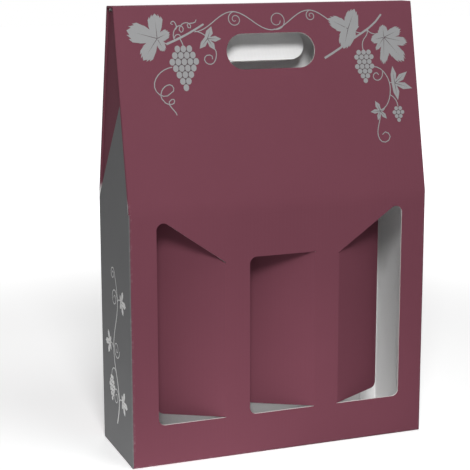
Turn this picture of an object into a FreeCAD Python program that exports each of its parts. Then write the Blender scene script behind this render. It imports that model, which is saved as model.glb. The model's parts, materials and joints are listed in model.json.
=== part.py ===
import FreeCAD, Part
import math
import os

# A folded carton carrier for three bottles. X runs along the front, -Y is the front, Z is up,
# and the origin is the middle of the floor's underside. All sizes are in mm.
Vector = FreeCAD.Vector
front, back = -1, 1

# Outside of the closed carton
box_width = 270.0
box_depth = 90.0
box_height = 382.0
shoulder_height = 217.0
ridge_width = 18.0
shoulder_bend = 50.0

# Board, folds and gaps
board = 1.5
inner_fold = 0.5
lid_edge_radius = 1.0
score_gap = 0.3
slip = 0.3
cut_gap = 0.5

# Windows in the front wall, and how far their flaps are pushed in
window_margin = 23.0
window_bridge = 22.0
window_bottom = 35.5
middle_window_top = 174.0
side_window_hinge_top = 171.5
side_window_free_top = 214.0
window_corner = 6.0
flap_angle = 30.0

# Carry holes, and the tongue in the back one
handle_length = 80.0
handle_height = 30.0
front_handle_drop = 39.5
back_handle_drop = 36.5
tongue_angle = 36.0

# Gussets of the side walls, and the lid's flaps behind them
gusset_reach = 89.0
gusset_heel = 2.0
side_flap_start = 68.0
side_flap_drop = 4.5
side_flap_heel = 10.0
tuck_length = 18.0
tuck_inset = 15.0

# Glue flap and the seams of the folded bottom
glue_flap_width = 16.0
glue_flap_drop = 20.0
seam_width = 0.6
seam_depth = 0.5
seam_offset = 8.0

# Print. The drawings are given in drawing units, from the slope's upper corners.
print_lift = 0.02
print_thickness = 0.1
backing_thickness = 0.05
print_margin = 0.6
drawing_unit = 1.0
line_width = 0.8
twig_width = 1.9
vein_width = 0.6
vein_reach = 0.75
tooth_depth = 0.05
leaf_teeth, small_teeth, no_teeth = (1, 2), (0, 1), (0, 0)
berry_gap = 0.3
berry_sides = 10
points_per_step = 2
points_per_turn = 10

# Worked out from the sizes above
fold_radius = inner_fold + board
lean = math.atan2((box_depth - ridge_width) / 2, box_height - shoulder_height)
slope_length = math.hypot((box_depth - ridge_width) / 2, box_height - shoulder_height)
window_width = (box_width - 2 * window_margin - 2 * window_bridge) / 3
far = box_width


def yz(y, z, x=0.0):
    return Vector(x, y, z)


def slope_point(side, up, depth):
    """A point of the slope's section: up from the shoulder and depth below the outer face."""
    y = box_depth / 2 - up * math.sin(lean) - depth * math.cos(lean)
    return yz(side * y, shoulder_height + up * math.cos(lean) - depth * math.sin(lean))


def slope_at_height(side, z, depth):
    up = (z - shoulder_height + depth * math.sin(lean)) / math.cos(lean)
    return slope_point(side, up, depth)


def bend_point(radius, shift=0.0):
    """A point on the ray that halves the front shoulder's bend, shifted along the board."""
    half = lean / 2
    y = shoulder_bend - box_depth / 2 - radius * math.cos(half) + shift * math.sin(half)
    z = shoulder_height - shoulder_bend * math.tan(half) + radius * math.sin(half)
    return yz(y, z + shift * math.cos(half))


crease = bend_point(shoulder_bend)


def rounded_face(points, radii):
    """A flat face through the points, with a tangent arc of the given radius at each corner."""
    corners = []
    for i, (corner, radius) in enumerate(zip(points, radii)):
        to_last = (points[i - 1] - corner).normalize()
        to_next = (points[(i + 1) % len(points)] - corner).normalize()
        half = to_last.getAngle(to_next) / 2
        reach = radius / math.tan(half)
        inward = (to_last + to_next).normalize() * (radius / math.sin(half) - radius)
        corners.append((corner + to_last * reach, corner + inward, corner + to_next * reach))
    edges = []
    for i, (start, middle, end) in enumerate(corners):
        if radii[i] > 0:
            edges.append(Part.Arc(start, middle, end).toShape())
        edges.append(Part.LineSegment(end, corners[(i + 1) % len(corners)][0]).toShape())
    return Part.Face(Part.Wire(edges))


def plain_face(points):
    return rounded_face(points, [0] * len(points))


def across(face, low, high):
    """A face in the YZ plane, made solid from x = low to x = high."""
    moved = face.copy()
    moved.translate(Vector(low, 0, 0))
    return moved.extrude(Vector(high - low, 0, 0))


def house(inset, half_width):
    """The closed carton's section, inset by a board or not, as a long solid."""
    side, top = box_depth / 2 - inset, box_height - inset
    shoulder = shoulder_height - inset * math.tan(lean / 2)
    ridge = abs(slope_at_height(back, top, inset).y)
    half = [yz(side, inset), yz(side, shoulder), yz(ridge, top)]
    points = half + [yz(-p.y, p.z) for p in reversed(half)]
    fold, bend = fold_radius - inset, shoulder_bend - inset
    return across(rounded_face(points, [fold, bend, fold, fold, bend, fold]), -half_width, half_width)


def plan(inset):
    """The carton's plan with its four upright folds, as a tall solid."""
    x, y = box_width / 2 - inset, box_depth / 2 - inset
    corners = [Vector(-x, -y, 0), Vector(x, -y, 0), Vector(x, y, 0), Vector(-x, y, 0)]
    return rounded_face(corners, [fold_radius - inset] * 4).extrude(Vector(0, 0, box_height))


def on_slope(shape, side):
    """Moves a shape drawn flat (x across, y up the slope, z outwards) on to a slope."""
    turn = FreeCAD.Rotation(Vector(1, 0, 0), 90 - math.degrees(lean))
    place = FreeCAD.Placement(Vector(0, -box_depth / 2, shoulder_height), turn)
    if side == back:
        place = FreeCAD.Placement(Vector(0, 0, 0), FreeCAD.Rotation(Vector(0, 0, 1), 180)) * place
    return shape.transformed(place.toMatrix())


def on_left_side(shape):
    """Moves a shape drawn flat (x to the front, y up, z outwards) on to the left side's dark field."""
    field = -box_width / 2 - print_lift - print_thickness
    turn = FreeCAD.Matrix(0, 0, -1, field, -1, 0, 0, 0, 0, 1, 0, 0, 0, 0, 0, 1)
    return shape.transformed(turn)


def stadium(centre, shrink):
    """The carry hole's outline, drawn flat."""
    x, y, radius = handle_length / 2 - shrink, handle_height / 2 - shrink, handle_height / 2 - shrink
    points = [(-x, -y), (x, -y), (x, y), (-x, y)]
    return rounded_face([Vector(px, centre + py, 0) for px, py in points], [radius * 0.999] * 4)


def carry_hole(side, drop):
    face = stadium(slope_length - drop, 0)
    face.translate(Vector(0, 0, -2 * board))
    return on_slope(face.extrude(Vector(0, 0, 3 * board)), side)


def gusset_corners(margin):
    """Lower front, tip and heel of the gusset, drawn in by a margin."""
    depth = board + slip + margin
    low = bend_point(shoulder_bend - depth, -score_gap / 2)
    tip = slope_point(front, gusset_reach - 2 * margin, depth)
    heel = slope_point(back, gusset_heel, board + margin)
    return low, tip, heel


def lid_room():
    """All that lies above the front crease and the gussets, in front of the back slope."""
    low, tip, heel = gusset_corners(0)
    start = bend_point(shoulder_bend + far, -score_gap / 2)
    top = slope_point(back, slope_length + far, board)
    face = plain_face([start, low, tip, heel, top, yz(start.y, top.z)])
    return across(face, -far, far)


def window_outline(hinge_top, free_top, near, far_gap, drop):
    """A window or flap drawn upright from its hinge line, with x away from the hinge."""
    rise = (free_top - hinge_top) / window_width
    right = window_width - far_gap
    low, top = window_bottom + drop, -drop * math.hypot(1, rise)
    right_top, near_top = hinge_top + rise * right + top, hinge_top + rise * near + top
    points = [(near, low), (right, low), (right, right_top), (near, near_top)]
    return rounded_face([Vector(x, 0, z) for x, z in points], [0, window_corner, window_corner, 0])


def window_row():
    """Name, hinge line, direction of the free side and both heights of each window."""
    side_hinge = window_width / 2 + window_bridge
    side_tops = (side_window_hinge_top, side_window_free_top)
    return [
        ("window_flap_left", -side_hinge, -1, *side_tops),
        ("window_flap_middle", window_width / 2, -1, middle_window_top, middle_window_top),
        ("window_flap_right", side_hinge, 1, *side_tops),
    ]


def in_front_wall(shape, hinge, direction):
    """Moves a shape drawn from its hinge line into the front wall, its inner face on the axis."""
    if direction < 0:
        shape = shape.mirror(Vector(0, 0, 0), Vector(1, 0, 0))
    shape.translate(Vector(hinge, board - box_depth / 2, 0))
    return shape


def window_hole(hinge, direction, hinge_top, free_top):
    face = window_outline(hinge_top, free_top, -score_gap / 2, 0, 0)
    face.translate(Vector(0, board, 0))
    return in_front_wall(face.extrude(Vector(0, -3 * board, 0)), hinge, direction)


def window_flap(hinge, direction, hinge_top, free_top):
    face = window_outline(hinge_top, free_top, score_gap / 2, cut_gap, cut_gap)
    flap = in_front_wall(face.extrude(Vector(0, -board, 0)), hinge, direction)
    flap.rotate(Vector(hinge, board - box_depth / 2, 0), Vector(0, 0, 1), direction * flap_angle)
    return flap


def handle_tongue():
    """The tongue of the back carry hole, scored along the hole's top edge and pushed in."""
    centre = slope_length - back_handle_drop
    top = centre + handle_height / 2
    face = stadium(centre, cut_gap)
    face.translate(Vector(0, cut_gap - score_gap / 2, -board))
    tongue = face.extrude(Vector(0, 0, board))
    tongue.rotate(Vector(0, top, -board), Vector(1, 0, 0), tongue_angle)
    return on_slope(tongue, back)


def glue_flap():
    """The strip that is glued inside the back wall at its right-hand end."""
    right, inner = box_width / 2 - board, box_depth / 2 - board
    height = shoulder_height - glue_flap_drop - board
    corner = Vector(right - glue_flap_width, inner - board, board)
    return Part.makeBox(glue_flap_width, board, height, corner)


def bottom_seams():
    """Fine grooves where the folded bottom's panels meet, under the floor."""
    half_x, half_y = box_width / 2 - fold_radius, box_depth / 2 - fold_radius
    seams = [Part.makeBox(2 * half_x, seam_width, seam_depth, Vector(-half_x, seam_offset, 0))]
    for x in (-1, 1):
        for y in (-1, 1):
            length = math.sqrt(2) * (half_y - y * seam_offset)
            groove = Part.makeBox(length, seam_width, seam_depth, Vector(0, -seam_width / 2, 0))
            groove.rotate(Vector(0, 0, 0), Vector(0, 0, 1), math.degrees(math.atan2(-y, -x)))
            groove.translate(Vector(x * half_x, y * half_y, 0))
            seams.append(groove)
    return seams


def closed_shell():
    outside = house(0, box_width / 2).common(plan(0))
    inside = house(board, box_width / 2 - board).common(plan(board))
    return outside, outside.cut(inside)


def carton():
    body = closed_shell()[1].cut(lid_room())
    body = body.fuse(glue_flap()).removeSplitter()
    holes = [window_hole(*row[1:]) for row in window_row()]
    return body.cut(holes + [carry_hole(back, back_handle_drop)] + bottom_seams())


def rounded_slope_block():
    """A thick slab under the front slope's plane with its two long outer edges rounded."""
    x, depth = box_width / 2, box_depth
    corners = [Vector(-x, 0, -depth), Vector(x, 0, -depth), Vector(x, 0, 0), Vector(-x, 0, 0)]
    face = rounded_face(corners, [0, 0, lid_edge_radius, lid_edge_radius])
    face.translate(Vector(0, -far, 0))
    return on_slope(face.extrude(Vector(0, 2 * far, 0)), front)


def lid_panel():
    """Front slope and ridge strip, from the front crease to the back slope's inner face."""
    start, low = bend_point(shoulder_bend + far, score_gap / 2), bend_point(0, score_gap / 2)
    inner = slope_point(back, slope_length / 2, board + slip)
    top = slope_point(back, slope_length + far, board + slip)
    room = across(plain_face([start, low, inner, top, yz(start.y, top.z)]), -far, far)
    return closed_shell()[0].common(room).common(rounded_slope_block()).cut(house(board, far))


def lid_side_flap():
    """The flap behind a gusset. Its heel is an arc about the crease, so that it clears the back slope."""
    top = box_height - side_flap_drop
    depth = board + 2 * slip
    from_crease = yz(box_depth / 2, shoulder_height) - crease
    reach = from_crease.y * math.cos(lean) + from_crease.z * math.sin(lean) - depth
    heel = [lean, lean / 2 - math.radians(side_flap_heel) / 2, -math.radians(side_flap_heel)]
    high, middle, low = [crease + yz(reach * math.cos(a), reach * math.sin(a)) for a in heel]
    start = slope_point(front, side_flap_start, board / 2)
    corners = [low, start, slope_at_height(front, top, board / 2), slope_at_height(back, top, depth), high]
    edges = [Part.LineSegment(a, b).toShape() for a, b in zip(corners, corners[1:])]
    return Part.Face(Part.Wire(edges + [Part.Arc(high, middle, low).toShape()]))


def tuck_flap():
    near, deep = board + slip, 2 * board + slip
    low, top = slope_length - tuck_length, box_height - board / 2
    ends = [slope_point(back, low, near), slope_point(back, low, deep)]
    return plain_face(ends + [slope_at_height(back, top, deep), slope_at_height(back, top, near)])


def lid():
    outer = box_width / 2 - board - slip
    flap = lid_side_flap()
    left, right = across(flap, -outer, board - outer), across(flap, outer - board, outer)
    tuck = across(tuck_flap(), tuck_inset - box_width / 2, box_width / 2 - tuck_inset)
    whole = lid_panel().multiFuse([left, right, tuck]).removeSplitter()
    return whole.cut(carry_hole(front, front_handle_drop))


def side_print(side):
    """The dark field on a side wall and its gusset."""
    low, tip, heel = gusset_corners(print_margin)
    edge, near = box_depth / 2 - fold_radius, box_width / 2 + print_lift
    foot = [yz(-edge, fold_radius), yz(edge, fold_radius)]
    points = foot + [yz(edge, heel.z), heel, tip, low, yz(-edge, low.z)]
    ends = (near, near + print_thickness) if side > 0 else (-near - print_thickness, -near)
    return across(plain_face(points), *ends)


def flat_piece(points, thickness=print_thickness):
    """A printed patch drawn flat."""
    corners = [Vector(x, y, print_lift) for x, y in points]
    return Part.Face(Part.makePolygon(corners + corners[:1])).extrude(Vector(0, 0, thickness))


def stroke(points, width=line_width, end_width=None):
    """A printed line through the points, which may taper."""
    curve = Part.BSplineCurve()
    curve.interpolate([Vector(x, y, 0) for x, y in points])
    steps = points_per_step * (len(points) - 1)
    left, right = [], []
    for i in range(steps + 1):
        share = i / steps
        at = curve.FirstParameter + (curve.LastParameter - curve.FirstParameter) * share
        centre, along = curve.value(at), curve.tangent(at)[0]
        half = (width + ((end_width or width) - width) * share) / 2
        left.append((centre.x - along.y * half, centre.y + along.x * half))
        right.append((centre.x + along.y * half, centre.y - along.x * half))
    return flat_piece(left + right[::-1])


def polar(centre, degrees, radius):
    turn = math.radians(degrees)
    return centre[0] + radius * math.cos(turn), centre[1] + radius * math.sin(turn)


def curl(centre, outer, inner, start, turns):
    """A spiral line that winds in from the start angle; negative turns wind clockwise."""
    count = round(points_per_turn * abs(turns))
    points = []
    for i in range(count + 1):
        radius = drawing_unit * (outer + (inner - outer) * i / count)
        points.append(polar(centre, start + 360 * turns * i / count, radius))
    return stroke(points, line_width, line_width * 0.8)


def toothed_edge(start, end, teeth):
    """Corners of a leaf's edge from start to end, as (angle, radius), with teeth that point to the
    longer end."""
    (angle, radius), (next_angle, next_radius) = start, end
    turn = (next_angle - angle + 180) % 360 - 180
    edge = [start]
    for i in range(1, teeth + 1):
        share = i / (teeth + 1)
        at, middle = angle + turn * share, radius + (next_radius - radius) * share
        tooth = [(at, middle * (1 + tooth_depth)), (at, middle * (1 - tooth_depth))]
        edge += tooth if next_radius > radius else tooth[::-1]
    return edge


def leaf(centre, lobes, broad, notch, teeth):
    """A vine leaf with a vein in each lobe. Lobes are (direction, length, half spread), anticlockwise;
    broad and notch are the shares of the length at the lobe's shoulders and between lobes, and teeth
    the numbers of teeth from notch to shoulder and from shoulder to tip."""
    corners = []
    for (last, last_length, last_spread), (direction, length, spread) in zip(lobes[-1:] + lobes, lobes):
        gap = (direction - spread - last - last_spread + 180) % 360 - 180
        shoulder = broad * length
        corners.append((direction - spread - gap / 2, notch * min(length, last_length)))
        corners += [(direction - spread, shoulder), (direction, length), (direction + spread, shoulder)]
    low, high = teeth
    outline = []
    for corner, end, count in zip(corners, corners[1:] + corners[:1], [low, high, high, low] * len(lobes)):
        outline += toothed_edge(corner, end, count)
    shape = flat_piece([polar(centre, angle, radius * drawing_unit) for angle, radius in outline])
    return shape.cut([vein(centre, direction, length) for direction, length, _ in lobes])


def vein(centre, direction, length):
    """A groove half through the ink, narrowing to its tip."""
    sides = [polar(centre, direction + 90, vein_width / 2), polar(centre, direction - 90, vein_width / 2)]
    groove = flat_piece(sides + [polar(centre, direction, length * vein_reach * drawing_unit)])
    groove.translate(Vector(0, 0, backing_thickness))
    return groove


def bunch(top, rows, pitch, stretch=1.0):
    """Rows of berries on a thinner backing, under the point at the top of the bunch."""
    width, rise = pitch * drawing_unit, pitch * stretch * drawing_unit
    half_x, half_y = (width - berry_gap) / 2, (rise - berry_gap) / 2
    turns = [2 * math.pi * (i + 0.5) / berry_sides for i in range(berry_sides)]
    berries, left, right = [], [], []
    for row, count in enumerate(rows):
        y = top[1] - rise / 2 - row * rise * math.sin(math.radians(60))
        places = [top[0] + (i - (count - 1) / 2) * width for i in range(count)]
        outlines = [[(x + half_x * math.cos(a), y + half_y * math.sin(a)) for a in turns] for x in places]
        berries += [flat_piece(outline) for outline in outlines]
        left.append((places[0], y))
        right += [(places[-1], y)] if count > 1 else []
    return joined([flat_piece(left + right[::-1], backing_thickness)] + berries)


def joined(pieces):
    """One drawing from pieces that touch."""
    return pieces[0].multiFuse(pieces[1:]).removeSplitter()


def corner_point(side, inward, down):
    """A point of the front slope, from its upper left or right corner."""
    return side * (box_width / 2 - inward * drawing_unit), slope_length - down * drawing_unit


def corner_lines(side, lines):
    """Thin lines through points measured from an upper corner."""
    return [stroke([corner_point(side, *point) for point in line]) for line in lines]


def corner_twig(side, points):
    return stroke([corner_point(side, *point) for point in points], twig_width, twig_width * 0.8)


def left_spray():
    """A large leaf, a twig, a bunch and a small leaf in the slope's upper left corner."""
    big_lobes = [(24, 12, 24), (92, 20.5, 23), (164, 26.5, 23), (233, 22, 21), (297, 12, 18)]
    small_lobes = [(68, 11, 27), (227, 11, 23), (302, 11.5, 21), (358, 12, 20)]
    big = leaf(corner_point(-1, 35.5, 26.7), big_lobes, 0.8, 0.46, leaf_teeth)
    small = leaf(corner_point(-1, 79, 28), small_lobes, 0.6, 0.25, no_teeth)
    lines = corner_lines(-1, [
        [(35.5, 27), (39, 29), (43.5, 31.5)],
        [(55, 27.5), (56.5, 30.5), (57.5, 34)],
        [(68.5, 21.5), (73, 22.7), (79, 27)],
        [(46.5, 50.5), (38.5, 53), (32, 59), (30, 65.5), (32.7, 71.5), (37.6, 74), (43.8, 71.5)],
        [(43.8, 71.5), (46.4, 68), (44.4, 65), (40, 65.5), (36.3, 69), (35, 74), (37.3, 78)],
        [(37.3, 78), (41.8, 80.7), (46, 79.5), (46, 77), (43.8, 76.8)],
        [(44, 76.8), (41.4, 79.5), (43.6, 84), (47.5, 90)],
        [(50.5, 28.5), (49.7, 23), (52, 18.6), (56, 16.6), (58.6, 19), (57.3, 22), (54.9, 20)],
        [(55, 20), (56.9, 16.2), (61.4, 14.3), (64.8, 16), (65, 18.5), (63, 18.4)],
        [(63, 18.5), (62.6, 15.5), (66.6, 14.8), (70.3, 12)],
        [(51, 20), (52, 14.5), (50, 12.8), (48, 14.4), (49.7, 15.6)],
        [(50.5, 26.5), (51.5, 24.5), (54, 23.8), (55.7, 26)],
        [(85, 37), (85, 44.6), (81.3, 49), (76.5, 48), (75, 44.3), (77.9, 41.5), (81.8, 42.4), (82, 45)],
    ])
    twig = corner_twig(-1, [(43, 31.5), (60, 24.5), (69, 20), (76.5, 15.8)])
    berries = bunch(corner_point(-1, 57.3, 32.7), (3, 4, 5, 4, 3, 2, 1), 5.2, 1.18)
    return [big, small, twig] + lines + [berries]


def right_spray():
    """Two large leaves, a twig and a bunch, with a smaller hanging spray below them."""
    upper_lobes = [(66, 18.5, 25), (153, 20.5, 20), (252, 18, 27)]
    large_lobes = [(22, 18, 17), (92, 11, 24), (190, 13, 20), (232, 14, 9), (265, 23.5, 11)]
    large_lobes += [(310, 28, 14), (347, 23, 12)]
    star_lobes = [(37, 16, 20), (94, 15, 19), (278, 15, 20), (343, 17.5, 18)]
    small_lobes = [(21, 5, 18), (116, 9.8, 22), (183, 9.5, 20), (249, 8.5, 21), (309, 9, 21)]
    leaves = [
        leaf(corner_point(1, 62.5, 22.8), upper_lobes, 0.74, 0.4, leaf_teeth),
        leaf(corner_point(1, 29, 31), large_lobes, 0.8, 0.6, leaf_teeth),
        leaf(corner_point(1, 22, 71), star_lobes, 0.56, 0.2, no_teeth),
        leaf(corner_point(1, 37.8, 94.5), small_lobes, 0.6, 0.28, no_teeth),
    ]
    lines = corner_lines(1, [
        [(50, 27), (56, 25.5), (62.5, 23)],
        [(44.6, 23.7), (42, 26.5), (38.6, 27.7), (34, 29), (29, 31)],
        [(44.6, 24), (45, 28), (49, 33), (50, 40), (49.5, 42)],
        [(41.5, 56), (35.8, 57.5), (29.8, 63.5), (27, 70.4), (26.8, 78), (28.2, 84), (31, 89.5),
         (37.5, 94)],
        [(27, 70.5), (24.5, 70.5), (22, 71)],
        [(27, 81), (22.5, 85), (20.5, 91.5)],
        [(33, 60.2), (33.7, 64.8), (37.2, 67.9), (41, 66.9), (42, 63.6), (39.3, 61.4), (36.8, 63.3)],
        [(38, 96), (40.5, 107), (41.7, 115), (38.5, 121), (33, 121), (30.3, 116.5), (33.5, 113),
         (37.6, 115)],
    ])
    twig = corner_twig(1, [(86.5, 47.3), (70, 38.3), (55.8, 30), (44.6, 23.7), (30.2, 11)])
    bunches = [
        bunch(corner_point(1, 49.5, 41), (3, 4, 3, 4, 3, 2, 1), 4.7),
        bunch(corner_point(1, 20.5, 91), (2, 3, 2, 1), 3.9),
    ]
    return leaves + [twig] + lines + bunches


def wave_between():
    """The long line of two humps between the sprays, with a curl at the dip and under each hump."""
    start, ridge = corner_point(-1, 68, 6)
    end, _ = corner_point(1, 64, 0)
    height, humps, steps = 8 * drawing_unit, 2, 24
    points = []
    for i in range(steps + 1):
        angle = 2 * math.pi * humps * i / steps
        points.append((start + (end - start) * i / steps, ridge - height * (1 + math.cos(angle))))
    hump, dip, last_hump = [points[i * steps // 4] for i in (1, 2, 3)]
    unit = drawing_unit
    curls = [
        curl((hump[0] + 2 * unit, ridge - 6.5 * unit), 6.5, 1.2, 90, 1.6),
        curl((last_hump[0] + 2 * unit, ridge - 4.8 * unit), 4.8, 1, 90, 1.4),
        curl((dip[0] + 5 * unit, dip[1] + 8 * unit), 8, 3.2, 245, 1.3),
    ]
    return [stroke(points)] + curls


def vine_print():
    return on_slope(joined(left_spray() + right_spray() + wave_between()), front)


def flourish_stem(foot, height, sway, waves, steps):
    shares = [i / steps for i in range(steps + 1)]
    return [(sway * math.sin(2 * math.pi * waves * share), foot + height * share) for share in shares]


def side_flourish():
    """A plain upright vine on the left side wall: a waving stem with leaves, curls and berries."""
    unit = drawing_unit
    stem = flourish_stem(26 * unit, 132 * unit, 7 * unit, 1.5, 18)
    pieces = [stroke(stem, twig_width, line_width)]
    for i, side in ((3, 1), (9, -1), (15, 1)):
        x, y = stem[i]
        tip = (x + side * 11 * unit, y + 2 * unit)
        pieces.append(stroke([(x, y), (x + side * 5 * unit, y + 3 * unit), tip]))
        spread = ((30, 12), (95, 14), (150, 12), (205, 7), (335, 7))
        lobes = [(90 - side * turn, length, 17) for turn, length in spread]
        pieces.append(leaf(tip, sorted(lobes), 0.7, 0.35, small_teeth))
        pieces.append(curl((x - side * 9 * unit, y + unit), 8.5, 1.5, 0 if side > 0 else 360, side * 1.5))
    pieces.append(curl((stem[-1][0] - 6 * unit, stem[-1][1]), 6, 1.2, 0, 1.5))
    x, y = stem[6]
    stalk = [(0, 0), (-6, 4), (-13, 1), (-14, -7)]
    pieces.append(stroke([(x + across_x * unit, y + up * unit) for across_x, up in stalk]))
    pieces.append(bunch((x - 14 * unit, y - 4 * unit), (2, 3, 4, 3, 2, 1), 4.4))
    return on_left_side(joined(pieces))


nodes = {
    "carton": carton(),
    "lid": lid(),
    "handle_tongue": handle_tongue(),
    "side_print_left": side_print(-1),
    "side_print_right": side_print(1),
    "vine_print": vine_print(),
    "side_flourish": side_flourish(),
}
for name, *place in window_row():
    nodes[name] = window_flap(*place)

os.makedirs("parts", exist_ok=True)
for name, shape in nodes.items():
    shape.exportStep(os.path.join("parts", name + ".step"))
    print(name, len(shape.Solids), shape.isValid(), round(shape.Volume, 1))
print("front crease", crease.y, crease.z)
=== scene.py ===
import json
import math

import bmesh
import bpy
from mathutils import Matrix, Vector


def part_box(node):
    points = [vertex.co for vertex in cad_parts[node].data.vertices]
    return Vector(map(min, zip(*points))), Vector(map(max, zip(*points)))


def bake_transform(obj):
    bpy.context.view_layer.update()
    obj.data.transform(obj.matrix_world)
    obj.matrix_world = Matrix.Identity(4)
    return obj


# Looks of a folded carton carrier. All lengths are in metres, in the model's own frame.
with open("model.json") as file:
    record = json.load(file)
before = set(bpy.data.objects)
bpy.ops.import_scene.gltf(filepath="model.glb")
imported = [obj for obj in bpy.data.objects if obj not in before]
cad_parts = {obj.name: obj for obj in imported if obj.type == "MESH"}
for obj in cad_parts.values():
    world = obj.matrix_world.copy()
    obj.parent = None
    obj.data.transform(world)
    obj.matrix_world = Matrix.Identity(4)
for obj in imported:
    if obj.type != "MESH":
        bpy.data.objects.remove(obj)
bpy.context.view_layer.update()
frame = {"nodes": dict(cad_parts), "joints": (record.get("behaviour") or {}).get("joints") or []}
joints = {joint["child"]: joint for joint in frame["joints"]}

# Sizes of the board and its folds
board = 0.0015
fold_radius = 0.002
shoulder_bend = 0.050
shoulder_height = 0.217
ridge_width = 0.018
flap_angle = math.radians(30)
tongue_angle = math.radians(36)
tongue_half_width = 0.025
side_flap_gap = 0.0004
print_step = 0.00005
carton_low, carton_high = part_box("carton")
half_width, half_depth, height = carton_high.x, carton_high.y, carton_high.z
lean = math.atan2(half_depth - ridge_width / 2, height - shoulder_height)

# The window flaps, and the way along X in which each reaches from its crease
window_flaps = [("window_flap_left", -1), ("window_flap_middle", -1), ("window_flap_right", 1)]

# Colours, as linear light
burgundy = (0.174, 0.057, 0.080)
dark_grey = (0.178, 0.179, 0.182)
silver = (0.300, 0.302, 0.306)
silver_hollow = (0.105, 0.080, 0.088)
pale_ink = (0.740, 0.735, 0.730)
plain_board = (0.930, 0.927, 0.925)
cut_board = (0.800, 0.775, 0.745)
white = (1.0, 1.0, 1.0)

# Finish of the board and the inks
bare_roughness = 0.78
printed_roughness = 0.58
side_roughness = 0.56
silver_roughness = 0.46
pale_roughness = 0.55
silver_metal = 0.1
paper_specular = 0.01

# Noises that vary a value: scale per metre, detail, roughness, and the reach to either side
board_cloud = (14.0, 3.0, 0.5, 0.035)
board_speck = (1400.0, 3.0, 0.65, 0.045)
board_gloss = (420.0, 2.0, 0.5, 0.05)
ink_cloud = (30.0, 2.0, 0.5, 0.03)
ink_grain = (2200.0, 2.0, 0.7, 0.07)
ink_gloss = (900.0, 2.0, 0.5, 0.06)

# Relief: the paper's tooth and the flutes' waves, each bump with its strength and depth
tooth_noise = (2600.0, 2.0, 0.6)
board_tooth = (0.16, 0.00008)
ink_tooth = (0.12, 0.00006)
flute_wash = (0.12, 0.00006)
wash_wave = 1900.0

# Cut edges and wear
flute_pitch = 0.0012
flute_tones = (0.86, 1.04)
liner = 0.0001
wear_width = 0.0022
wear_noise = (260.0, 4.0, 0.7)
wear_range = (0.48, 0.80)
wear_share = 0.10
# Painted shade: the roof's cut edges at both ends take the burgundy print colour, fading out at the
# shoulder
gable_shade_width = 0.0021
gable_shade_fade = (0.222, 0.232)

# Masks: the distance at which a face still lies on a plane, and cosines of its turn to the plane
plane_tolerance = 0.0008
turned_to = 0.7071
turned_away = 0.5

# Crease bands: the scored board between two bodies, built bent at the flap's resting angle
band_reach = 0.0025
band_proud = 0.00005
arc_steps = 8
straight_steps = 12
round_end_degrees = (15, 30, 45, 60, 72, 82)
sharp_angle = math.radians(40)

# The photograph's camera
camera_azimuth = math.radians(20.889)
camera_elevation = math.radians(11.874)
camera_roll = math.radians(-0.116)
camera_distance = 1.217644
camera_target = Vector((-0.026297, 0.0, 0.183889))
camera_lens = 107.49
sensor_width = 36.0

# The studio: pale sky, and white paper floor with a painted glowing pool near the carton that lights it,
# unseen by the camera
world_level = 0.12
floor_grey = 0.60
seen_floor_grey = 0.95
floor_reach = 6.0
floor_drop = 0.0002
near_lift = 0.36
far_lift = 1.0
lift_from = 0.4
lift_to = 1.2
pool_near = 0.08
pool_far = 0.27
pool_level = 0.95
pool_centre = (-0.20, 0.00, 0.0)

# Soft lamps: name, place, width and watts
lamps = [
    ("key", (-0.46, -1.33, 1.240), 0.5, 19.4),
    ("top", (0.50, -1.13, 2.15), 0.9, 12.3),
    ("back", (0.50, 1.60, 1.50), 0.9, 5.0),
]
lamp_aim = (0, 0, 0.19)

# A soft cone of light from low in front
low_lamp = (-0.515, -1.265, 0.491)
low_aim = (0.03, -0.045, 0.005)
low_power = 21.0
low_cone = math.radians(13.0)
low_radius = 0.04


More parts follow.
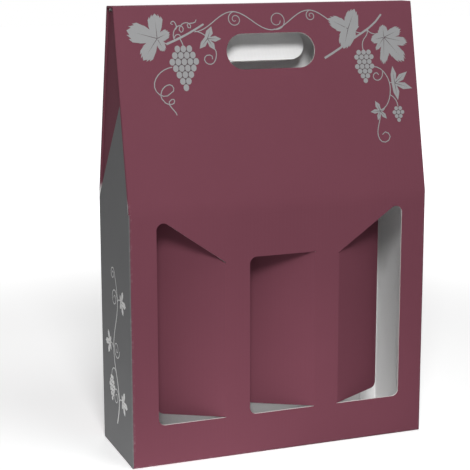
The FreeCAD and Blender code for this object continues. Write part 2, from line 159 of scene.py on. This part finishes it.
class Graph:
    """A material with a Principled shader, and short calls that add nodes to it."""

    def __init__(self, name):
        self.material = bpy.data.materials.new(name)
        self.material.use_nodes = True
        self.tree = self.material.node_tree
        self.shader = self.tree.nodes["Principled BSDF"]
        coordinates = self.tree.nodes.new("ShaderNodeTexCoord")
        self.place = coordinates.outputs["Object"]
        self.normal = coordinates.outputs["Normal"]

    def put(self, socket, value):
        """Links a socket to the value, or sets a plain value on it."""
        if isinstance(value, bpy.types.NodeSocket):
            self.tree.links.new(value, socket)
        elif isinstance(value, (tuple, list)) and len(value) == 3 and len(socket.default_value) == 4:
            socket.default_value = (*value, 1.0)
        else:
            socket.default_value = value

    def surface(self, name, value):
        """Gives one input of the shader its value."""
        self.put(self.shader.inputs[name], value)

    def math(self, operation, first, second=0.0):
        node = self.tree.nodes.new("ShaderNodeMath")
        node.operation = operation
        self.put(node.inputs[0], first)
        self.put(node.inputs[1], second)
        return node.outputs[0]

    def vector_math(self, operation, first, second):
        node = self.tree.nodes.new("ShaderNodeVectorMath")
        node.operation = operation
        self.put(node.inputs[0], first)
        node.inputs[1].default_value = second
        return node.outputs["Value"]

    def dot(self, vector, direction):
        return self.vector_math("DOT_PRODUCT", vector, direction)

    def distance(self, point):
        """How far the surface is from a point."""
        return self.vector_math("DISTANCE", self.place, point)

    def along(self, axis):
        """The place on the surface, measured along X, Y or Z."""
        node = self.tree.nodes.new("ShaderNodeSeparateXYZ")
        self.put(node.inputs[0], self.place)
        return node.outputs[axis]

    def noise(self, scale, detail, roughness):
        node = self.tree.nodes.new("ShaderNodeTexNoise")
        self.put(node.inputs["Vector"], self.place)
        node.inputs["Scale"].default_value = scale
        node.inputs["Detail"].default_value = detail
        node.inputs["Roughness"].default_value = roughness
        return node.outputs["Fac"]

    def scaled(self, value, low, high, start=0.0, end=1.0):
        """Turns start...end smoothly into low...high."""
        node = self.tree.nodes.new("ShaderNodeMapRange")
        node.interpolation_type = "SMOOTHSTEP"
        self.put(node.inputs["Value"], value)
        for name, limit in (("From Min", start), ("From Max", end), ("To Min", low), ("To Max", high)):
            node.inputs[name].default_value = limit
        return node.outputs["Result"]

    def varied(self, middle, scale, detail, roughness, reach):
        """A noise between reach below the middle and reach above it."""
        return self.scaled(self.noise(scale, detail, roughness), middle - reach, middle + reach)

    def mix(self, share, first, second):
        node = self.tree.nodes.new("ShaderNodeMix")
        node.data_type = "RGBA"
        self.put(node.inputs["Factor"], share)
        self.put(node.inputs["A"], first)
        self.put(node.inputs["B"], second)
        return node.outputs["Result"]

    def shade(self, colour, value):
        """The colour times a grey value."""
        node = self.tree.nodes.new("ShaderNodeVectorMath")
        node.operation = "SCALE"
        self.put(node.inputs[0], colour)
        self.put(node.inputs["Scale"], value)
        return node.outputs[0]

    def bump(self, relief, strength, depth, below=None):
        node = self.tree.nodes.new("ShaderNodeBump")
        node.inputs["Strength"].default_value = strength
        node.inputs["Distance"].default_value = depth
        self.put(node.inputs["Height"], relief)
        if below is not None:
            self.put(node.inputs["Normal"], below)
        return node.outputs[0]

    def across(self, direction):
        """1 on the faces that stand steeply across the faces of this direction."""
        turn = self.math("ABSOLUTE", self.dot(self.normal, direction))
        return self.math("LESS_THAN", turn, turned_away)

    def printed(self, planes):
        """1 on the faces that lie on one of the planes, each an outward direction and its distance."""
        total = 0.0
        for direction, distance in planes:
            near = self.math("GREATER_THAN", self.dot(self.place, direction), distance - plane_tolerance)
            turned = self.math("GREATER_THAN", self.dot(self.normal, direction), turned_to)
            total = self.math("MAXIMUM", total, self.math("MULTIPLY", near, turned))
        return total

    def cut(self, planes):
        """1 on the cut faces between the board's two liners, under the printed planes."""
        total = 0.0
        for direction, distance in planes:
            depth = self.math("SUBTRACT", distance, self.dot(self.place, direction))
            under = self.math("GREATER_THAN", depth, liner)
            above = self.math("LESS_THAN", depth, board - liner)
            inside = self.math("MULTIPLY", under, above)
            total = self.math("MAXIMUM", total, self.math("MULTIPLY", inside, self.across(direction)))
        return total


def plane(direction, point):
    """The plane with this outward direction through a point."""
    direction = Vector(direction).normalized()
    return direction, direction.dot(Vector(point))


def outer_plane(node, direction):
    """The plane with this direction that just touches a node."""
    direction = Vector(direction).normalized()
    return direction, max(direction.dot(v.co) for v in frame["nodes"][node].data.vertices)


front_slope = plane((0, -math.cos(lean), math.sin(lean)), (0, -half_depth, shoulder_height))
back_slope = plane((0, math.cos(lean), math.sin(lean)), (0, half_depth, shoulder_height))
front_wall = plane((0, -1, 0), (0, -half_depth, 0))
back_wall = plane((0, 1, 0), (0, half_depth, 0))
underside = plane((0, 0, -1), (0, 0, 0))
ridge = plane((0, 0, 1), (0, 0, height))
left_side = plane((-1, 0, 0), (-half_width, 0, 0))
right_side = plane((1, 0, 0), (half_width, 0, 0))

# It lies under every window flap, so it takes in each of their faces that looks up: the flaps' top cut
# edges take the burgundy print colour as painted shade
flap_top_shade = plane((0, 0, 1), (0, 0, 0))


def paper_surface(graph, colour, roughness):
    """Coated board: faint mottling, fine tooth and the flutes' washboard that shows in raking light."""
    cloud = graph.varied(1.0, *board_cloud)
    speck = graph.varied(1.0, *board_speck)
    graph.surface("Base Color", graph.shade(graph.shade(colour, cloud), speck))
    graph.surface("Roughness", graph.math("ADD", roughness, graph.varied(0.0, *board_gloss)))
    flutes = graph.math("SINE", graph.math("MULTIPLY", graph.along("X"), wash_wave))
    wash = graph.bump(flutes, *flute_wash)
    graph.surface("Normal", graph.bump(graph.noise(*tooth_noise), *board_tooth, wash))
    graph.surface("Specular IOR Level", paper_specular)


def cut_tone(graph):
    """The core of a cut edge: grey-brown paper with the flutes' shadows between the liners."""
    along = graph.dot(graph.place, (1.0, 0.0, 1.0))
    wave = graph.math("SINE", graph.math("MULTIPLY", along, 2 * math.pi / flute_pitch))
    return graph.shade(cut_board, graph.scaled(wave, *flute_tones, -1.0, 1.0))


def worn(graph):
    """Faint rubbed spots on the upright folds and round the foot."""
    aside = graph.math("ABSOLUTE", graph.along("X"))
    ahead = graph.math("ABSOLUTE", graph.along("Y"))
    sides = graph.math("GREATER_THAN", aside, half_width - wear_width)
    fronts = graph.math("GREATER_THAN", ahead, half_depth - wear_width)
    foot = graph.math("LESS_THAN", graph.along("Z"), wear_width)
    folds = graph.math("MAXIMUM", graph.math("MULTIPLY", sides, fronts), foot)
    spots = graph.scaled(graph.noise(*wear_noise), 0.0, wear_share, *wear_range)
    return graph.math("MULTIPLY", folds, spots)


def gable_edge_shade(graph):
    """1 on the roof's cut edges at both ends, painted with the print's burgundy as shade, fading out at
    the shoulder.
    """
    aside = graph.math("ABSOLUTE", graph.along("X"))
    end = graph.math("GREATER_THAN", aside, half_width - gable_shade_width)
    edge = graph.math("MULTIPLY", end, graph.across((1, 0, 0)))
    return graph.math("MULTIPLY", edge, graph.scaled(graph.along("Z"), 0.0, 1.0, *gable_shade_fade))


def board_material(name, burgundy_planes, grey_planes=(), shaded_ends=False):
    """Printed where a face lies on one of the planes, and bare board on the inside and the cut edges; the
    roof's cut end edges can take the burgundy as painted shade.
    """
    graph = Graph(name)
    roughness = bare_roughness
    colour = graph.mix(graph.cut(burgundy_planes), plain_board, cut_tone(graph))
    # Painted shade: the roof's cut edges at both ends take the burgundy print colour
    if shaded_ends:
        colour = graph.mix(gable_edge_shade(graph), colour, burgundy)
    for planes, ink in ((burgundy_planes, burgundy), (grey_planes, dark_grey)):
        if planes:
            mask = graph.printed(planes)
            colour = graph.mix(mask, colour, ink)
            smoother = graph.math("MULTIPLY", mask, bare_roughness - printed_roughness)
            roughness = graph.math("SUBTRACT", roughness, smoother)
    colour = graph.mix(worn(graph), colour, plain_board)
    paper_surface(graph, colour, roughness)
    return graph.material


def even_material(name, colour, roughness):
    graph = Graph(name)
    paper_surface(graph, colour, roughness)
    return graph.material


def ink_material(name, colour, roughness, metallic=0.0, hollow=None, top=None):
    """A printed layer: slightly uneven, with its fine lines in the hollow's colour below the plane top."""
    graph = Graph(name)
    if hollow is not None:
        direction, distance = top
        raised = graph.math("GREATER_THAN", graph.dot(graph.place, direction), distance - print_step / 2)
        colour = graph.mix(raised, hollow, colour)
    grain = graph.varied(1.0, *ink_grain)
    cloud = graph.varied(1.0, *ink_cloud)
    graph.surface("Base Color", graph.shade(graph.shade(colour, grain), cloud))
    graph.surface("Roughness", graph.varied(roughness, *ink_gloss))
    graph.surface("Normal", graph.bump(graph.noise(*tooth_noise), *ink_tooth))
    graph.surface("Metallic", metallic)
    graph.surface("Specular IOR Level", paper_specular)
    return graph.material


def dress(node, material):
    """Gives a node its one material."""
    mesh = frame["nodes"][node].data
    mesh.materials.clear()
    mesh.materials.append(material)


def dress_board():
    """Board materials on all folded pieces."""
    walls = [front_wall, back_wall, back_slope, underside]
    dress("carton", board_material("carton_board", walls, [left_side, right_side], True))
    flap_x = half_width - board - side_flap_gap
    lid_sides = [plane((-1, 0, 0), (-flap_x, 0, 0)), plane((1, 0, 0), (flap_x, 0, 0))]
    dress("lid", board_material("lid_board", [front_slope, front_wall, ridge] + lid_sides, (), True))
    for body, direction in window_flaps:
        turn = direction * flap_angle
        outward = (math.sin(turn), -math.cos(turn), 0)
        # The flaps' top cut edges are painted burgundy as shade
        dress(body, board_material(body + "_board", [outer_plane(body, outward), flap_top_shade]))
    tilt = lean - tongue_angle
    outward = (0, math.cos(tilt), math.sin(tilt))
    dress("handle_tongue", board_material("tongue_board", [outer_plane("handle_tongue", outward)]))


def dress_print():
    """Inks on the printed layers. The lines between berries and the leaf veins lie a step lower."""
    side = ink_material("side_ink", dark_grey, side_roughness)
    dress("side_print_left", side)
    dress("side_print_right", side)
    vine_top = outer_plane("vine_print", front_slope[0])
    vine = ink_material("silver_ink", silver, silver_roughness, silver_metal, silver_hollow, vine_top)
    dress("vine_print", vine)
    side_top = outer_plane("side_flourish", left_side[0])
    dress("side_flourish", ink_material("pale_ink", pale_ink, pale_roughness, 0.0, dark_grey, side_top))


def make_piece(name, vertices, faces, face_materials, materials):
    """A smooth piece with its creases kept sharp, and one material index for each face."""
    mesh = bpy.data.meshes.new(name)
    mesh.from_pydata(vertices, [], faces)
    for material in materials:
        mesh.materials.append(material)
    for polygon, index in zip(mesh.polygons, face_materials):
        polygon.material_index = index
        polygon.use_smooth = True
    piece = bpy.data.objects.new(name, mesh)
    bpy.context.scene.collection.objects.link(piece)
    tidy = bmesh.new()
    tidy.from_mesh(mesh)
    bmesh.ops.recalc_face_normals(tidy, faces=tidy.faces)
    tidy.to_mesh(mesh)
    tidy.free()
    mesh.set_sharp_from_angle(angle=sharp_angle)
    return piece


def swept_band(name, sections, outer_count, materials):
    """Joins equal closed sections. The first outer_count points of each are the printed face, and the
    two faces next to it are printed too."""
    count = len(sections[0])
    vertices = [point for section in sections for point in section]
    faces, kinds = [], []
    for step in range(len(sections) - 1):
        low, high = step * count, (step + 1) * count
        for i in range(count):
            j = (i + 1) % count
            faces.append((low + i, low + j, high + j, high + i))
            kinds.append(0 if i < outer_count or i == count - 1 else 1)
    # The two end caps are cut board but take the print colour (index 0): painted shade where the creases
    # end
    faces.append(tuple(range(count)))
    faces.append(tuple((len(sections) - 1) * count + i for i in range(count)))
    return make_piece(name, vertices, faces, kinds + [0, 0], materials)


def front_stations(straight):
    """Places along X for the sections of the lid's band, close together where the corners round off."""
    middle = [-straight + 2 * straight * i / straight_steps for i in range(straight_steps + 1)]
    ends = [fold_radius * math.sin(math.radians(turn)) for turn in round_end_degrees]
    return [-straight - e for e in reversed(ends)] + middle + [straight + e for e in ends]


def lid_band(materials):
    """The soft bend between the front wall and the lid, across the whole front."""
    centre_y = shoulder_bend - half_depth
    centre_z = shoulder_height - shoulder_bend * math.tan(lean / 2)
    sweep = band_reach / shoulder_bend
    angles = [lean / 2 - sweep + 2 * sweep * i / arc_steps for i in range(arc_steps + 1)]
    straight = half_width - fold_radius
    inner = shoulder_bend - board - band_proud
    sections = []
    for x in front_stations(straight):
        past = max(0.0, abs(x) - straight)
        drop = fold_radius - math.sqrt(fold_radius**2 - past**2)
        outer = shoulder_bend + band_proud - drop
        ring = [(outer, a) for a in angles] + [(inner, a) for a in reversed(angles)]
        sections.append([(x, centre_y - r * math.cos(a), centre_z + r * math.sin(a)) for r, a in ring])
    band = swept_band("lid_crease_band", sections, arc_steps + 1, materials)
    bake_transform(band)
    return band


def bent_section(angle):
    """A board scored on its inner face and bent by angle, as (along, outward) points from the axis."""
    outer, inner = board + band_proud, -band_proud
    turned = [angle * i / arc_steps for i in range(arc_steps + 1)]
    points = [(-band_reach, outer)]
    points += [(outer * math.sin(a), outer * math.cos(a)) for a in turned]
    c, s = math.cos(angle), math.sin(angle)
    points.append((band_reach * c + outer * s, -band_reach * s + outer * c))
    points.append((band_reach * c + inner * s, -band_reach * s + inner * c))
    points.append((inner * math.tan(angle / 2), inner))
    points.append((-band_reach, inner))
    return points


def crease_band(name, child, along, outward, angle, across, ends, materials):
    """A band over a scored crease: along points from the wall to the flap, across lies on the axis."""
    axis = Vector(joints[child]["pos_m"])
    along, outward, across = Vector(along), Vector(outward), Vector(across)
    section = bent_section(angle)
    sections = []
    for end in ends:
        foot = axis + across * (end - axis.dot(across))
        sections.append([foot + along * u + outward * v for u, v in section])
    band = swept_band(name, sections, len(section) - 3, materials)
    end = axis + (along * math.cos(angle) - outward * math.sin(angle)) * band_reach
    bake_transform(band)
    return band


def crease_heights(body):
    """The lowest and highest point at which a window flap hangs on its crease."""
    crease_x = joints[body]["pos_m"][0]
    heights = [v.co.z for v in frame["nodes"][body].data.vertices if abs(v.co.x - crease_x) < board]
    return min(heights), max(heights)


def crease_bands():
    """One band over each of the five creases."""
    printed = even_material("crease_print", burgundy, printed_roughness)
    bare = even_material("crease_inside", plain_board, bare_roughness)
    materials = [printed, bare]
    bands = [lid_band(materials)]
    front, upright, sideways = (0, -1, 0), (0, 0, 1), (1, 0, 0)
    for body, direction in window_flaps:
        name = body + "_crease"
        away = (direction, 0, 0)
        ends = crease_heights(body)
        bands.append(crease_band(name, body, away, front, flap_angle, upright, ends, materials))
    down = (0, math.sin(lean), -math.cos(lean))
    outward = (0, math.cos(lean), math.sin(lean))
    ends = (-tongue_half_width, tongue_half_width)
    bands.append(crease_band("tongue_crease", "handle_tongue", down, outward, tongue_angle, sideways,
                             ends, materials))


def make_camera():
    """The camera looks from the left and slightly above, with its small roll."""
    back = Vector((-math.sin(camera_azimuth) * math.cos(camera_elevation),
                   -math.cos(camera_azimuth) * math.cos(camera_elevation),
                   math.sin(camera_elevation)))
    right = (-back).cross(Vector((0, 0, 1))).normalized()
    up = right.cross(-back)
    rolled_right = right * math.cos(camera_roll) + up * math.sin(camera_roll)
    rolled_up = up * math.cos(camera_roll) - right * math.sin(camera_roll)
    data = bpy.data.cameras.new("camera")
    data.lens = camera_lens
    data.sensor_width = sensor_width
    camera = bpy.data.objects.new("camera", data)
    turn = Matrix((rolled_right, rolled_up, back)).transposed().to_4x4()
    camera.matrix_world = Matrix.Translation(camera_target + back * camera_distance) @ turn
    bpy.context.scene.collection.objects.link(camera)
    bpy.context.scene.camera = camera


def hang_lamp(data, place, aim):
    """Puts a lamp at its place and turns it to its aim."""
    lamp = bpy.data.objects.new(data.name, data)
    lamp.location = place
    lamp.rotation_euler = (Vector(aim) - Vector(place)).to_track_quat("-Z", "Y").to_euler()
    bpy.context.scene.collection.objects.link(lamp)


def area_light(name, place, size, power):
    data = bpy.data.lights.new(name, "AREA")
    data.shape = "DISK"
    data.size = size
    data.energy = power
    hang_lamp(data, place, lamp_aim)


def low_light():
    """A soft cone on the foot of the front, which reaches in under the window flaps."""
    data = bpy.data.lights.new("low", "SPOT")
    data.energy = low_power
    data.shadow_soft_size = low_radius
    data.spot_size = low_cone
    data.spot_blend = 1.0
    hang_lamp(data, low_lamp, low_aim)


def seen_ray(tree):
    """1 for camera, glossy and transmission rays."""
    path = tree.nodes.new("ShaderNodeLightPath").outputs
    seen = path["Is Camera Ray"]
    for kind in ("Is Glossy Ray", "Is Transmission Ray"):
        node = tree.nodes.new("ShaderNodeMath")
        node.operation = "MAXIMUM"
        tree.links.new(seen, node.inputs[0])
        tree.links.new(path[kind], node.inputs[1])
        seen = node.outputs[0]
    return seen


def light_world():
    """Even soft light all round, seen as white."""
    world = bpy.data.worlds.new("studio")
    bpy.context.scene.world = world
    world.use_nodes = True
    tree = world.node_tree
    background = tree.nodes["Background"]
    background.inputs["Color"].default_value = (*white, 1.0)
    level = tree.nodes.new("ShaderNodeMapRange")
    level.inputs["To Min"].default_value = world_level
    level.inputs["To Max"].default_value = 1.0
    tree.links.new(seen_ray(tree), level.inputs["Value"])
    tree.links.new(level.outputs["Result"], background.inputs["Strength"])


def floor_paper():
    """Paper that is seen white further out, and that lights the carton from a painted glowing pool round
    it.
    """
    graph = Graph("floor_paper")
    graph.surface("Roughness", 1.0)
    graph.surface("Specular IOR Level", 0.0)
    seen = seen_ray(graph.tree)
    graph.surface("Base Color", graph.mix(seen, (floor_grey,) * 3, (seen_floor_grey,) * 3))
    # Painted light: the floor glows in a pool round the carton for the rays that light it, not for the
    # camera
    pool = graph.scaled(graph.distance(pool_centre), pool_level, 0.0, pool_near, pool_far)
    glow = graph.math("MULTIPLY", pool, graph.math("SUBTRACT", 1.0, seen))
    away = graph.scaled(graph.distance((0, 0, 0)), near_lift, far_lift, lift_from, lift_to)
    lift = graph.math("MULTIPLY", seen, away)
    graph.surface("Emission Color", white)
    graph.surface("Emission Strength", graph.math("ADD", glow, lift))
    return graph.material


def make_floor():
    """A wide floor that keeps the soft shadow, and glows round the carton to light it from below, as
    painted light.
    """
    mesh = bpy.data.meshes.new("floor")
    signs = ((-1, -1), (1, -1), (1, 1), (-1, 1))
    corners = [(x * floor_reach, y * floor_reach, -floor_drop) for x, y in signs]
    mesh.from_pydata(corners, [], [(0, 1, 2, 3)])
    floor = bpy.data.objects.new("floor", mesh)
    bpy.context.scene.collection.objects.link(floor)
    mesh.materials.append(floor_paper())


def light_stage():
    """World, floor and lamps, with colours shown as they are written."""
    light_world()
    make_floor()
    for name, place, size, power in lamps:
        area_light(name, place, size, power)
    low_light()
    bpy.context.scene.view_settings.view_transform = "Standard"


dress_board()
dress_print()
crease_bands()
make_camera()
light_stage()
